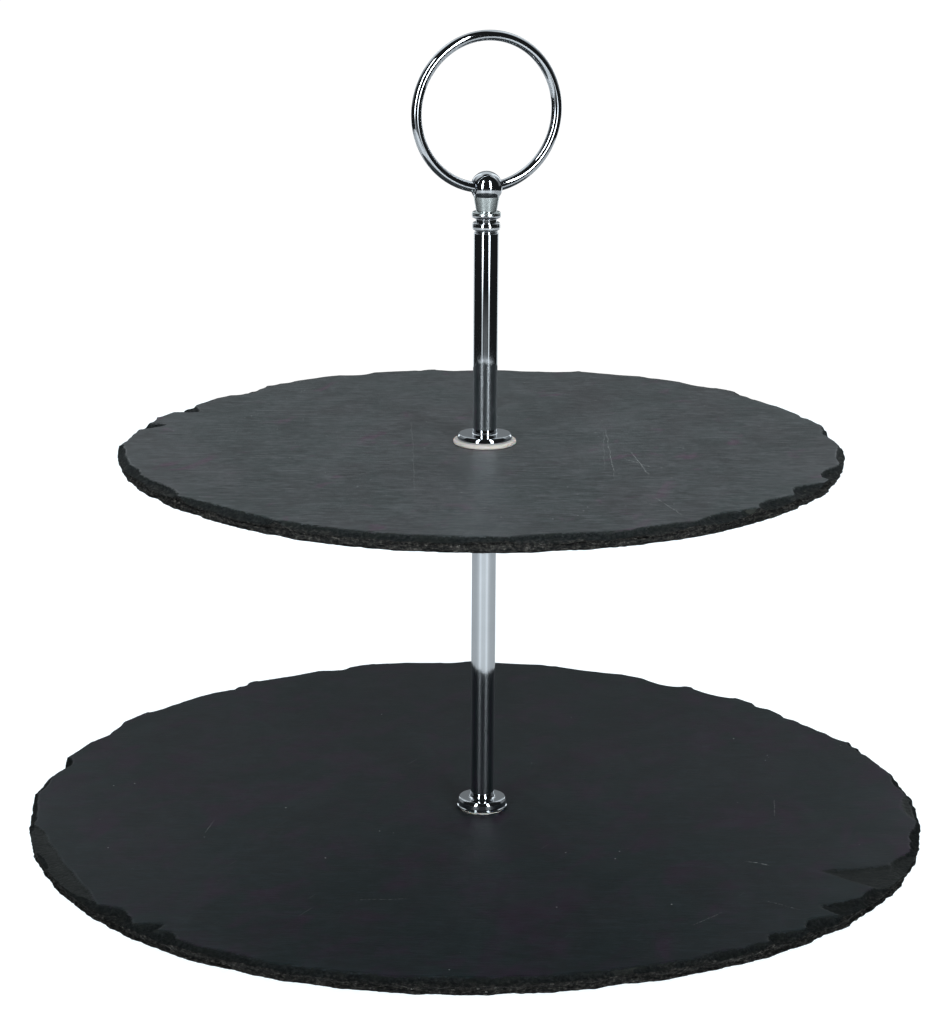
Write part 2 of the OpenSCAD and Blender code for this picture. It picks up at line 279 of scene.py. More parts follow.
def slate(name, face, oil, marks, gloss, seed, purple_from, streaky, rim_light, speck_from):
    """Riven slate: fine streaks along the cleft, purple and green patches, pale scratches and specks,
    and an oiled face that shines a little (oil is how much). The broken rim is dry and dark, with
    paler layers and white flecks (rim_light is how light); just below the face's edge it is near
    black, partly the dry broken stone and partly painted shade for the shadow line along the rim.
    purple_from is where the purple patches start and end and how strong they are, and fewer specks
    show as speck_from rises. Vertex colour "rim" holds: red, 1 on broken surfaces; green, how far
    down the break goes; blue, a random tint."""
    material, n = new_material(name)
    grain_turn = (0, 0, math.radians(23))
    shift = (seed * 0.37, seed * 0.11, 0)
    place = n.coords(shift=shift)
    streak_place = n.coords(scale=(0.14, 1, 1), turn=grain_turn, shift=shift)
    long_place = n.coords(scale=(1.0, 0.55, 1), turn=(0, 0, math.radians(35)), shift=shift)

    rim = n.add("VertexColor", layer_name="rim")
    split = n.add("SeparateColor")
    n.put(split.inputs[0], rim.outputs["Color"])
    broken, deep, tint = split.outputs[0], split.outputs[1], split.outputs[2]

    cloud = n.noise(long_place, 34, 5, 0.6, 0.6)
    blotch = n.noise(n.coords(scale=(1.0, 0.6, 1), turn=(0, 0, math.radians(50)),
                              shift=(shift[0] + 1.7, 0.4, 0)), 75, 5, 0.62, 0.5)
    streak = n.math("ADD", n.math("MULTIPLY", n.noise(streak_place, 800, 3, 0.62, 0.8), 0.65),
                    n.math("MULTIPLY", n.noise(place, 420, 4, 0.7), 0.35))
    hair_place = n.coords(scale=(0.10, 1, 1), turn=(0, 0, math.radians(31)), shift=shift)
    hair = n.noise(hair_place, 1900, 3, 0.6, 1.0)
    grit = n.noise(place, 2400, 2)

    purple = tuple(a * b for a, b in zip(face, (2.6, 0.62, 1.7)))
    green = tuple(a * b for a, b in zip(face, (0.72, 1.06, 0.97)))
    colour = n.mix(n.span(cloud, 0.42, 0.60), green + (1,), face + (1,))
    colour = n.mix(n.span(blotch, *purple_from), colour, purple + (1,))
    light = tuple(c * 2.4 for c in face) + (1,)
    dark = tuple(c * 0.35 for c in face) + (1,)
    colour = n.mix(n.span(streak, 0.50, 0.60, 0, 0.8 * streaky), colour, light)
    colour = n.mix(n.span(streak, 0.50, 0.40, 0, 0.8 * streaky), colour, dark)
    drift = n.noise(n.coords(scale=(0.7, 0.5, 1), turn=grain_turn, shift=shift), 70, 5, 0.65, 0.8)
    colour = n.mix(n.span(drift, 0.50, 0.70, 0, 0.32 * streaky), colour, light)
    colour = n.mix(n.span(drift, 0.50, 0.30, 0, 0.32 * streaky), colour, dark)
    colour = n.mix(n.span(hair, 0.60, 0.78, 0, 0.5 * streaky), colour, light)
    colour = n.mix(n.span(grit, 0.66, 0.82, 0, 0.25), colour, light)

    wobble = n.add("VectorMath", operation="ADD")
    bend = n.add("VectorMath", operation="SCALE")
    wander = n.add("TexNoise")
    n.put(wander.inputs["Vector"], n.coords())
    wander.inputs["Scale"].default_value = 160
    n.put(bend.inputs[0], wander.outputs["Color"])
    bend.inputs["Scale"].default_value = 0.0016
    n.put(wobble.inputs[0], n.coords(shift=(-0.0008, -0.0008, 0)))
    n.put(wobble.inputs[1], bend.outputs[0])
    marked = scratches(n, marks, wobble.outputs[0])
    chalk = n.math("MULTIPLY", marked, n.span(n.noise(place, 1700, 4, 0.75), 0.48, 0.58, 0.0, 1.35))
    random_mark = n.span(n.noise(n.coords(scale=(0.03, 1, 1), turn=(0, 0, math.radians(-38)),
                                          shift=shift), 1500, 1), 0.79, 0.84, 0, 0.5)
    sparse = n.span(n.noise(place, 35, 2), 0.55, 0.7)
    speck = n.math("MULTIPLY", n.span(n.cells(place, 240), 0.04, 0.07, 1.0, 0.0),
                   n.span(n.noise(place, 90, 1), speck_from, speck_from + 0.05))
    pale = n.math("MAXIMUM", n.math("MAXIMUM", chalk, n.math("MULTIPLY", random_mark, sparse)),
                  n.math("MULTIPLY", speck, 0.9))
    colour = n.mix(pale, colour, (0.40, 0.41, 0.40, 1))

    layer_place = n.coords(scale=(1, 1, 4), shift=shift)
    layers = n.noise(layer_place, 620, 5, 0.66, 0.4)
    crumbs = n.noise(place, 900, 4, 0.6)
    rubble = n.math("ADD", n.math("MULTIPLY", layers, 0.5), n.math("MULTIPLY", crumbs, 0.5))
    rock = n.ramp(rubble, (0.36, (0.004, 0.0042, 0.0042)), (0.46, (0.012, 0.0122, 0.012)),
                  (0.53, (0.032, 0.0305, 0.028)), (0.60, (0.075, 0.071, 0.064)),
                  (0.68, (0.22, 0.212, 0.195)))
    slick = n.mix(n.span(crumbs, 0.35, 0.7), (0.0068, 0.0085, 0.008, 1), (0.017, 0.0195, 0.0175, 1))
    # painted shadow: the shallow, crumbly break just below the face's edge is near black, partly the dry
    # broken stone and partly painted shade for the shadow line along the rim
    broken_black_and_shadow = n.mix(n.span(crumbs, 0.40, 0.75), (0.0045, 0.006, 0.0065, 1), (0.027, 0.030, 0.029, 1))
    patchy = n.math("MAXIMUM", n.math("LESS_THAN", tint, 0.05),
                    n.span(n.noise(place, 170, 3, 0.6), 0.50, 0.58, 0, 0.8))
    # the shallow break near the face takes this partly painted shade, and the deep wall takes the rock
    # colours
    top_break_and_shadow = n.mix(patchy, broken_black_and_shadow, slick)
    rock = n.mix(n.span(n.math("ADD", deep, n.math("MULTIPLY", tint, 0.35)), 0.45, 0.8), top_break_and_shadow, rock)
    rock = n.mix(n.span(tint, 0.86, 0.92, 0, 0.5), rock, (0.050, 0.052, 0.044, 1))
    fleck = n.math("MULTIPLY", n.span(n.noise(layer_place, 520, 3, 0.6), 0.66, 0.70),
                   n.span(n.noise(place, 140, 2), 0.52, 0.6))
    rock = n.mix(n.math("MULTIPLY", fleck, n.span(deep, 0.5, 0.8)), rock, (0.42, 0.41, 0.38, 1))
    rock = n.mix(1.0, rock, (rim_light,) * 3 + (1,), "MULTIPLY")
    border = n.math("MULTIPLY", broken, n.math("SUBTRACT", 1, broken))
    ragged = n.math("MULTIPLY", n.math("SUBTRACT", crumbs, 0.5), n.math("MULTIPLY", border, 10))
    dulled = n.span(n.math("ADD", broken, ragged), 0.4, 0.75)
    colour = n.mix(dulled, colour, rock)

    rough_face = n.span(streak, 0.3, 0.7, gloss - 0.12, gloss + 0.14)
    crumbly = n.math("MULTIPLY", dulled, n.math("GREATER_THAN", tint, 0.05))
    rough = n.math("ADD", rough_face, n.math("MULTIPLY", crumbly, 0.42), clamp=True)
    even = n.math("ADD", n.math("MULTIPLY", streak, 0.55), n.math("MULTIPLY", hair, 0.45))
    oiled = n.span(even, 0.42, 0.58, -0.3 * streaky, 0.3 * streaky)
    oiled = n.math("MULTIPLY", oiled, n.span(n.noise(long_place, 110, 3, 0.6), 0.42, 0.62, 0.25, 1.0))
    oiled = n.math("ADD", oiled, n.span(drift, 0.35, 0.65, 1 - 0.08 * streaky, 1 + 0.08 * streaky))
    dried = n.math("MAXIMUM", n.math("MULTIPLY", crumbly, 0.85), n.math("MULTIPLY", dulled, 0.55))
    oiled = n.math("MULTIPLY", oiled, n.math("SUBTRACT", 1, dried))
    oiled = n.math("MULTIPLY", oiled, oil, clamp=True)
    cleft = n.math("ADD", n.math("MULTIPLY", streak, 0.5), n.math("MULTIPLY", hair, 0.35))
    cleft = n.math("ADD", cleft, n.math("MULTIPLY", grit, 0.25))
    cleft = n.math("SUBTRACT", cleft, n.math("MULTIPLY", pale, 0.5))
    cleft = n.math("MULTIPLY", cleft, n.span(dulled, 0, 1, 1, 0.25))
    normal = n.bump(cleft, 0.00022 * streaky, 0.9)
    rugged = n.math("MULTIPLY", dulled, n.span(deep, 0.15, 0.45, 0.25, 1.0))
    normal = n.bump(n.math("MULTIPLY", n.math("ADD", layers, crumbs), rugged), 0.0009, 0.9, normal)
    n.principled(color=colour, roughness=rough, normal=normal, specular=0.06, coat=oiled,
                 coat_roughness=gloss, coat_normal=normal)
    return material


UPPER_MARKS = [  # from where to where on the plate, half width, strength
    (46, 5, 18.5, -61, 0.25, 0.75), (44, 2, 20, -50, 0.18, 0.5),
    (40, -27, 31, -60, 0.35, 0.9), (33, -35, 37, -52, 0.3, 0.7),
    (21, -83, 19, -108, 0.22, 0.8), (15, -88, 23, -104, 0.2, 0.55),
    (38, 71, 52, 60, 0.2, 0.5), (-8, 46, -49, -62, 0.16, 0.4),
    (-40, -20, -62, -28, 0.2, 0.4), (70, 20, 84, 6, 0.18, 0.4), (-20, -84, -6, -92, 0.2, 0.45),
]
LOWER_MARKS = [
    (60, -77, 66, -84, 0.3, 0.7), (96, -30, 88, -46, 0.2, 0.4), (-70, -60, -52, -66, 0.2, 0.35),
    (20, -118, 34, -112, 0.22, 0.45), (-96, 10, -88, 22, 0.2, 0.35), (50, -108, 57, -120, 0.2, 0.4),
]

# the cone under the ball is left satin between these heights above the finial's foot
FINIAL_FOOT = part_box("finial")[0].z
CONE_LOW, CONE_HIGH = FINIAL_FOOT + 2.5 * MM, FINIAL_FOOT + 8.2 * MM
MATERIALS = {
    "polished_chrome": chrome("polished_chrome", tone=(0.60, 0.62, 0.645), rough=0.05, grain=0.015),
    "cast_chrome": chrome("cast_chrome", tone=(0.60, 0.615, 0.635), rough=0.075, grain=0.05, pits=1.2),
    "cast_finial": chrome("cast_finial", tone=(0.60, 0.615, 0.635), rough=0.075, grain=0.05, pits=1.2,
                          satin=(CONE_LOW, CONE_HIGH)),
    "zinc_steel": zinc(),
    "brass": brass(),
    "cream_plastic": plastic(),
    "black_rubber": rubber(),
    "slate": slate("grey_slate", face=(0.0285, 0.0306, 0.0326), oil=0.775, marks=UPPER_MARKS,
                   gloss=0.52, seed=1.0, purple_from=(0.59, 0.68, 0, 0.9), streaky=1.0,
                   rim_light=1.3, speck_from=0.54),
    "dark_slate": slate("dark_slate", face=(0.0096, 0.0124, 0.0144), oil=0.250, marks=LOWER_MARKS,
                        gloss=0.55, seed=5.0, purple_from=(0.49, 0.65, 0, 0.7), streaky=0.6,
                        rim_light=0.82, speck_from=0.66),
}


# ---------------------------------------------------------------- mesh helpers

def make_piece(name, verts, faces, body, slot, replaced, sharp=35, material=None):
    """A smooth-shaded piece with crisp edges, which rides on a body and stands for CAD nodes."""
    mesh = bpy.data.meshes.new(name)
    mesh.from_pydata([tuple(v) for v in verts], [], [tuple(f) for f in faces])
    mesh.validate()
    work = bmesh.new()
    work.from_mesh(mesh)
    bmesh.ops.recalc_face_normals(work, faces=work.faces)
    work.to_mesh(mesh)
    work.free()
    mesh.shade_smooth()
    mesh.set_sharp_from_angle(angle=math.radians(sharp))
    piece = bpy.data.objects.new(name, mesh)
    bpy.context.scene.collection.objects.link(piece)
    mesh.materials.append(material or MATERIALS[slot])
    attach(piece, body)
    if replaced:
        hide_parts(*replaced)
    return piece


def rounded(points, closed=True, steps=5):
    """A profile whose corners are arcs. Each point is (radius, height, corner radius)."""
    out = []
    count = len(points)
    for i, (r, z, c) in enumerate(points):
        if c <= 0 or (not closed and i in (0, count - 1)):
            out.append((r, z))
            continue
        here = Vector((r, z))
        before = Vector(points[i - 1][:2]) - here
        after = Vector(points[(i + 1) % count][:2]) - here
        half = before.angle(after) / 2
        reach = min(c / math.tan(half), before.length * 0.49, after.length * 0.49)
        radius = reach * math.tan(half)
        middle = here + (before.normalized() + after.normalized()).normalized() * (radius / math.sin(half))
        start = here + before.normalized() * reach - middle
        end = here + after.normalized() * reach - middle
        sweep = math.atan2(start.x * end.y - start.y * end.x, start.dot(end))
        for k in range(steps + 1):
            a = sweep * k / steps
            out.append((middle.x + start.x * math.cos(a) - start.y * math.sin(a),
                        middle.y + start.x * math.sin(a) + start.y * math.cos(a)))
    return out


def turned(profile, segments=160, closed=True):
    """Vertices and faces of a profile turned about Z. A point on the axis becomes one vertex."""
    verts, rows = [], []
    for r, z in profile:
        if r < 1e-9:
            rows.append([len(verts)] * segments)
            verts.append((0, 0, z))
        else:
            rows.append(list(range(len(verts), len(verts) + segments)))
            verts += [(r * math.cos(TAU * k / segments), r * math.sin(TAU * k / segments), z)
                      for k in range(segments)]
    faces = []
    pairs = list(zip(rows, rows[1:])) + ([(rows[-1], rows[0])] if closed else [])
    for low, high in pairs:
        for k in range(segments):
            m = (k + 1) % segments
            corners = [low[k], low[m], high[m], high[k]]
            face = [c for i, c in enumerate(corners) if c not in corners[:i]]
            if len(face) > 2:
                faces.append(face)
    return verts, faces


def lathe(name, points, body, slot, replaced, segments=160):
    """A turned piece from (radius, height, corner radius) points in millimetres."""
    profile = [(r * MM, z * MM) for r, z in rounded(points)]
    verts, faces = turned(profile, segments)
    return make_piece(name, verts, faces, body, slot, replaced)


def cut(piece, tool):
    """Takes the tool's volume out of the piece, for good."""
    modifier = piece.modifiers.new("cut", "BOOLEAN")
    modifier.operation = "DIFFERENCE"
    modifier.solver = "MANIFOLD"
    modifier.object = tool
    bpy.context.view_layer.update()
    evaluated = piece.evaluated_get(bpy.context.evaluated_depsgraph_get())
    mesh = bpy.data.meshes.new_from_object(evaluated)
    piece.modifiers.clear()
    piece.data = mesh
    bpy.data.objects.remove(tool)
    mesh.shade_smooth()
    mesh.set_sharp_from_angle(angle=math.radians(35))


def tool_object(verts, faces, matrix):
    """A closed mesh, moved to its place, that a cut then takes away."""
    mesh = bpy.data.meshes.new("tool")
    mesh.from_pydata([tuple(v) for v in verts], [], [tuple(f) for f in faces])
    work = bmesh.new()
    work.from_mesh(mesh)
    bmesh.ops.recalc_face_normals(work, faces=work.faces)
    work.to_mesh(mesh)
    work.free()
    tool = bpy.data.objects.new("tool", mesh)
    bpy.context.scene.collection.objects.link(tool)
    mesh.transform(matrix)
    return tool


def size_mm(node):
    """Lowest height, highest height and largest radius of a turned CAD node, in millimetres."""
    low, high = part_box(node)
    return low.z / MM, high.z / MM, high.x / MM


# ---------------------------------------------------------------- slate plates

def facet_noise(rng, angles, width_mm, radius, depth, bite):
    """Depths round the rim: straight facets between random corners, or concave bites."""
    count = max(8, int(TAU * radius / width_mm))
    knots = (np.arange(count) + rng.uniform(-0.35, 0.35, count)) * TAU / count
    values = rng.uniform(0, 1, count) ** 1.6 * depth
    knots = np.concatenate([knots, [knots[0] + TAU]])
    values = np.concatenate([values, [values[0]]])
    a = (angles - knots[0]) % TAU + knots[0]
    i = np.clip(np.searchsorted(knots, a, side="right") - 1, 0, count - 1)
    u = (a - knots[i]) / (knots[i + 1] - knots[i])
    if bite:
        return values[i] * (1 - (2 * u - 1) ** 2)
    return values[i] + (values[i + 1] - values[i]) * u


def smooth(x, low, high):
    t = np.clip((x - low) / (high - low), 0, 1)
    return t * t * (3 - 2 * t)


def value_noise(rng, shape):
    grid = rng.uniform(-1, 1, shape)

    def at(x, y):
        x, y = np.mod(x, shape[0]), np.mod(y, shape[1])
        i, j = np.floor(x).astype(int), np.floor(y).astype(int)
        u, v = x - i, y - j
        u, v = u * u * (3 - 2 * u), v * v * (3 - 2 * v)
        i2, j2 = (i + 1) % shape[0], (j + 1) % shape[1]
        i, j = i % shape[0], j % shape[1]
        return ((grid[i, j] * (1 - u) + grid[i2, j] * u) * (1 - v)
                + (grid[i, j2] * (1 - u) + grid[i2, j2] * u) * v)

    return at


def scoops(rng, x, y, width, height, around):
    """Shallow bowls that meet in ridges, as flint-like chips do, 0 to 1 deep, closed round x."""
    wide, tall = max(4, round(around / width)), 24
    middle = rng.uniform(0.1, 0.9, (wide, tall, 2))
    depth = rng.uniform(0.25, 1.0, (wide, tall))
    x, y = np.broadcast_arrays(x / around * wide, y / height)
    i, j = np.floor(x).astype(int), np.floor(y).astype(int)
    nearest, out = np.full(x.shape, 9.0), np.zeros(x.shape)
    for di in (-1, 0, 1):
        for dj in (-1, 0, 1):
            a, b = (i + di) % wide, (j + dj) % tall
            far = np.hypot(x - i - di - middle[a, b, 0], y - j - dj - middle[a, b, 1])
            closer = far < nearest
            nearest = np.where(closer, far, nearest)
            out = np.where(closer, depth[a, b] * np.clip(1 - far ** 2, 0, 1), out)
    return out


def softened(field, times):
    """A field over rows and angles, smoothed a little in both directions and closed round the rim."""
    for _ in range(times):
        field = (np.roll(field, 1, 1) + 2 * field + np.roll(field, -1, 1)) / 4
        padded = np.vstack([field[:1], field, field[-1:]])
        field = (padded[:-2] + 2 * padded[1:-1] + padded[2:]) / 4
    return field


def cad_outline(node):
    """Angle and radius of the CAD plate's outline about the post's axis."""
    co = np.array([v.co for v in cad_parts[node].data.vertices])
    reach = np.hypot(co[:, 0], co[:, 1])
    rim = co[reach > 0.05]
    angle = np.arctan2(rim[:, 1], rim[:, 0]) % TAU
    order = np.argsort(angle)
    angle, radius = angle[order], np.hypot(rim[:, 0], rim[:, 1])[order]
    keep = np.concatenate([[True], np.diff(angle) > 1e-4])
    angle, radius = angle[keep], radius[keep]
    return (np.concatenate([angle[-1:] - TAU, angle, angle[:1] + TAU]),
            np.concatenate([radius[-1:], radius, radius[:1]]))


AROUND = 1440  # points round the rim
HOLE_R = 4.0  # of the drilled hole, in millimetres
WIDE_HALF, WIDE_REACH = 12, 5  # a flake at least this wide and this deep inward has a smooth bed
# distances from the rim inward, closer together near the rim, in millimetres
INWARD = list(np.arange(0, 4, 0.3)) + list(np.arange(4, 8, 0.4)) + list(np.arange(8, 14, 0.75)) + [
    14, 15, 16, 17, 18.2, 19.4, 20.6, 21.8, 23, 24.2, 25.4, 26.6, 28, 30]


def slate_plate(node, body, slot, seed, scars, hole_mm, grown_mm):
    """A hand-trimmed slate disc. scars: [angle, half width, reach, depth] of the named flakes that
    are broken out of its upper edge, in degrees and millimetres."""
    rng = np.random.default_rng(seed)
    low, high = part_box(node)
    bottom, top = low.z / MM, high.z / MM
    thick = top - bottom
    angles = np.arange(AROUND) * TAU / AROUND
    outline = cad_outline(node)
    rim = np.interp(angles, *outline) / MM + grown_mm
    mean = rim.mean()
    calm = 0.35 + 0.65 * facet_noise(rng, angles, 40, mean, 1.0, False)
    rim = rim - facet_noise(rng, angles, 14, mean, 0.7, True) * calm
    rim = rim - facet_noise(rng, angles, 5, mean, 0.45, True) * calm
    rim = rim - facet_noise(rng, angles, 2.2, mean, 0.18, False)

    flakes = []
    for scar in scars:
        wide = scar[1] >= WIDE_HALF and scar[2] >= WIDE_REACH
        shade = 0.0 if wide else rng.uniform(0.1, 0.8)
        flakes.append([*scar, shade, rng.uniform(0, 50)])
    for _ in range(75):
        half = rng.uniform(4, 14)
        flakes.append([rng.uniform(0, 360), half, rng.uniform(1.0, 2.5), rng.uniform(0.8, 2.2), 2.0,
                       0.0, rng.uniform(0.1, 1), rng.uniform(0, 50)])
    for _ in range(60):
        half = rng.uniform(1.2, 4)
        flakes.append([rng.uniform(0, 360), half, rng.uniform(0.8, 2.2), rng.uniform(0.5, 1.4), 2.0,
                       rng.uniform(-0.5, 0.5), rng.uniform(0.1, 1), rng.uniform(0, 50)])
    ripple = value_noise(rng, (64, 64))
    fine = value_noise(rng, (256, 256))
    inward = np.array(INWARD)[:, None]
    drop = np.zeros((len(INWARD), AROUND))
    tint = np.zeros_like(drop)
    layered = np.ones_like(drop)
    along = angles * mean
    for angle, half, reach, depth, power, skew, shade, place in flakes:
        offset = (np.degrees(angles) - angle + 540) % 360 - 180
        side = np.abs(np.radians(offset)[None] * mean + skew * inward) / half
        large = half >= WIDE_HALF and reach >= WIDE_REACH
        if large:
            wave = 1 + 0.09 * ripple(along[None] * 0.13 + place, place)
        else:
            wave = 1 + min(0.12, 0.6 / half) * ripple(along[None] * 0.3 + place, inward * 0.5 + place)
            wave = wave + min(0.05, 0.2 / half) * fine(along[None] * 0.43 + place, inward * 0.8)
        far = (side ** power + (inward / reach) ** power) ** (1 / power) * wave
        inside = far < 1
        fall = depth * (0.40 * smooth((1 - far) * reach, 0, 0.45) + 0.60 * np.clip(1 - far, 0, 1) ** 0.8)
        take = inside & (fall > drop)
        layered = np.where(take, 0.12 if large else 1.0, layered)
        drop = np.where(take, fall, drop)
        tint = np.where(take, shade, tint)
    worn = 0.35 * np.clip(1 - inward / 1.1, 0, 1) ** 1.5
    drop = np.maximum(drop, worn * (0.6 + 0.4 * ripple(along[None] * 0.2, 3)))
    step = 0.42
    shelf = drop / step + 0.35 * ripple(along[None] * 0.12, inward * 0.3)
    whole = np.floor(shelf)
    drop_layered = (whole + smooth(shelf - whole, 0.55, 1.0)) * step
    terraced = 0.65 * layered
    drop = np.where(drop > 0.12, np.clip((1 - terraced) * drop + terraced * drop_layered, 0.05, thick - 1.2),
                    drop)
    drop = drop + np.where(drop > 0.12, 0.05 * layered ** 2 * fine(along[None], inward * 1.5), 0)
    broken = smooth(drop, 0.08, 0.40)
    around = TAU * mean
    chips = 0.55 * scoops(rng, along[None], inward + 0.8 * drop, 5.5, 2.4, around)
    chips = chips + 0.15 * scoops(rng, along[None], inward + drop, 2.8, 1.5, around)
    drop = drop + chips * broken * layered * smooth(drop, 0.2, 0.9)
    drop = softened(np.clip(drop, 0, thick - 1.0), 2)
    broken = softened(np.maximum(broken, smooth(drop, 0.03, 0.2)), 3)
    rim = rim - 0.5 * smooth(drop[0], 1.2, 3.0)
    reach_out = int(6 / (around / AROUND))
    window = np.hanning(2 * reach_out + 1)
    even_rim = np.convolve(np.concatenate([rim[-reach_out:], rim, rim[:reach_out]]),
                           window / window.sum(), "valid")

    verts, colours, faces = [], [], []

    def row(radius, height, mask, deep, shade, count=AROUND):
        start = len(verts)
        a = np.arange(count) * TAU / count
        radius, height = np.broadcast_to(radius, count), np.broadcast_to(height, count)
        mask, deep = np.broadcast_to(mask, count), np.broadcast_to(deep, count)
        shade = np.broadcast_to(shade, count)
        verts.extend(zip(radius * np.cos(a) * MM, radius * np.sin(a) * MM, height * MM))
        colours.extend(zip(mask, deep, shade, np.ones(count)))
        return start, count

    def join(outer, inner, flip=False):
        (a, n), (b, m) = outer, inner
        if n == m:
            made = [(a + k, a + (k + 1) % n, b + (k + 1) % n, b + k) for k in range(n)]
        else:
            made = []
            for k in range(m):
                p, q, r = a + 2 * k, a + 2 * k + 1, a + (2 * k + 2) % n
                s, t = b + k, b + (k + 1) % m
                made += [(p, q, s), (q, t, s), (q, r, t)]
        faces.extend(tuple(reversed(f)) for f in made) if flip else faces.extend(made)

    def relief(x, y):
        return 0.10 * ripple(x * 0.045, y * 0.045) + 0.05 * ripple(x * 0.15 + 9, y * 0.15)

    def inner_rows(last, edge, height, flip, lumpy):
        count = AROUND
        for share in (0.95, 0.9, 0.84, 0.77, 0.69, 0.6, 0.51, 0.42, 0.33, 0.25, 0.18, 0.12, 0.07):
            if share in (0.9, 0.77, 0.6, 0.33) and count > 100:
                count //= 2
                edge = edge[::2]
            a = np.arange(count) * TAU / count
            radius = hole_mm + 0.4 + (edge - hole_mm - 0.4) * share
            lump = relief(radius * np.cos(a), radius * np.sin(a)) if lumpy else 0
            new = row(radius, height + lump * min(1, share * 6), 0, 0, 0, count)
            join(last, new, flip)
            last = new
        ring = row(hole_mm + 0.4, height, 0.2, 0, 0.3, count)
        join(last, ring, flip)
        return ring

    # the upper face, from the rim inward
    rows = []
    for i, t in enumerate(INWARD):
        at_rim = max(0.0, 1 - t / 1.8)
        radius = rim * at_rim + even_rim * (1 - at_rim) - t
        lump = relief(radius * np.cos(angles), radius * np.sin(angles)) * min(1, t / 8)
        rows.append(row(radius, top - drop[i] + lump * (1 - broken[i]), broken[i],
                        drop[i] / thick, tint[i]))
    for outer, inner in zip(rows, rows[1:]):
        join(outer, inner)
    top_hole = inner_rows(rows[-1], even_rim - INWARD[-1], top, False, True)

    # the side: thin layers that stand out or back, scooped by the chips
    edges = np.cumsum(rng.uniform(0.45, 1.3, 8))
    edges = edges / edges[-1] * (thick + 0.3)
    ledges = np.array([rng.uniform(-0.15, 0.75) - 0.3 + facet_noise(rng, angles, 6, mean, 0.9, False)
                       + facet_noise(rng, angles, 1.6, mean, 0.35, False) for _ in edges])
    shades = rng.uniform(0, 0.85, len(edges))
    previous = rows[0]
    wall_top, wall_low = top - drop[0], bottom + 0.12
    wall_steps = 18
    fraction = np.arange(1, wall_steps + 1)[:, None] / wall_steps
    height = wall_top[None] * (1 - fraction) + wall_low * fraction
    depth = top - height
    index = np.clip(np.searchsorted(edges, depth), 0, len(edges) - 1)
    column = np.arange(AROUND)[None]
    start = np.where(index > 0, edges[np.maximum(index - 1, 0)], 0)
    share = smooth(depth - start, 0, 0.22)
    offset = ledges[index, column] * share + ledges[np.maximum(index - 1, 0), column] * (1 - share)
    offset = np.clip(offset, -0.15, 1.6) * smooth(depth, 0.1, 1.4)
    hollow = 0.75 * scoops(rng, along[None], depth, 5.0, 2.2, around)
    hollow = hollow + 0.35 * scoops(rng, along[None], depth, 1.8, 0.9, around)
    offset = offset + hollow * smooth(fraction, 0, 0.25) - 0.35
    offset = np.where(fraction < 0.06, 0, np.maximum(offset, -0.2))
    for i in range(wall_steps):
        new = row(rim - offset[i], height[i], 1, 0.45 + 0.5 * depth[i] / thick, shades[index[i]])
        join(previous, new, True)
        previous = new
    offset = offset[-1]
    for t, lift in ((0.5, 0.10), (1.3, 0.0), (3.0, 0.0), (6.0, 0.0)):
        chipped = facet_noise(rng, angles, 4, mean, 0.25, True) if t < 2 else 0
        new = row(rim - offset - t, bottom + lift + chipped * (t < 1), 1 if t < 2 else 0, 0.9, 0.4)
        join(previous, new, True)
        previous = new
    bottom_hole = inner_rows(previous, rim - offset - 6.0, bottom, True, False)

    # the drilled hole, with a crumbly lip at both ends
    count = top_hole[1]
    crumble = rng.uniform(-0.12, 0.12, count)
    upper = row(hole_mm + crumble, top - 0.35, 1, 0.5, 0.3, count)
    lower = row(hole_mm - crumble, bottom + 0.35, 1, 0.6, 0.3, count)
    join(top_hole, upper)
    join(upper, lower)
    join(lower, bottom_hole)

    piece = make_piece("slate_" + body, np.array(verts), faces, body, slot, [node], sharp=40)
    layer = piece.data.color_attributes.new("rim", "FLOAT_COLOR", "POINT")
    layer.data.foreach_set("color", np.array(colours, np.float32).ravel())
    return piece


# angle, half width, reach, depth, roundness (1 is a triangle, 2 an oval), slant
UPPER_SCARS = [
    (147.5, 5, 8.0, 1.8, 1.3, 0.6), (132, 7, 9.0, 1.6, 1.3, -0.4), (114.5, 12, 4.9, 1.6, 1.5, 0),
    (105, 6, 3.0, 1.2, 1.5, 0), (165, 10, 2.5, 1.6, 2, 0), (176, 9, 2.8, 1.8, 2, 0),
    (188, 12, 3.0, 1.9, 2, 0), (205, 16, 2.6, 1.7, 2, 0), (222, 14, 2.4, 1.8, 2, 0),
    (240, 16, 2.2, 1.6, 2, 0), (258, 18, 3.2, 1.8, 2, 0), (274, 12, 2.8, 1.8, 2, 0),
    (286, 10, 3.6, 1.9, 2, 0.4), (298, 9, 3.4, 2.0, 2, 0.5), (308, 8, 5.0, 2.2, 1.6, 0.6),
    (319, 8, 4.0, 2.2, 2, 0.3), (331, 13, 2.6, 2.0, 2, 0), (343, 10, 1.8, 1.6, 2, 0),
]
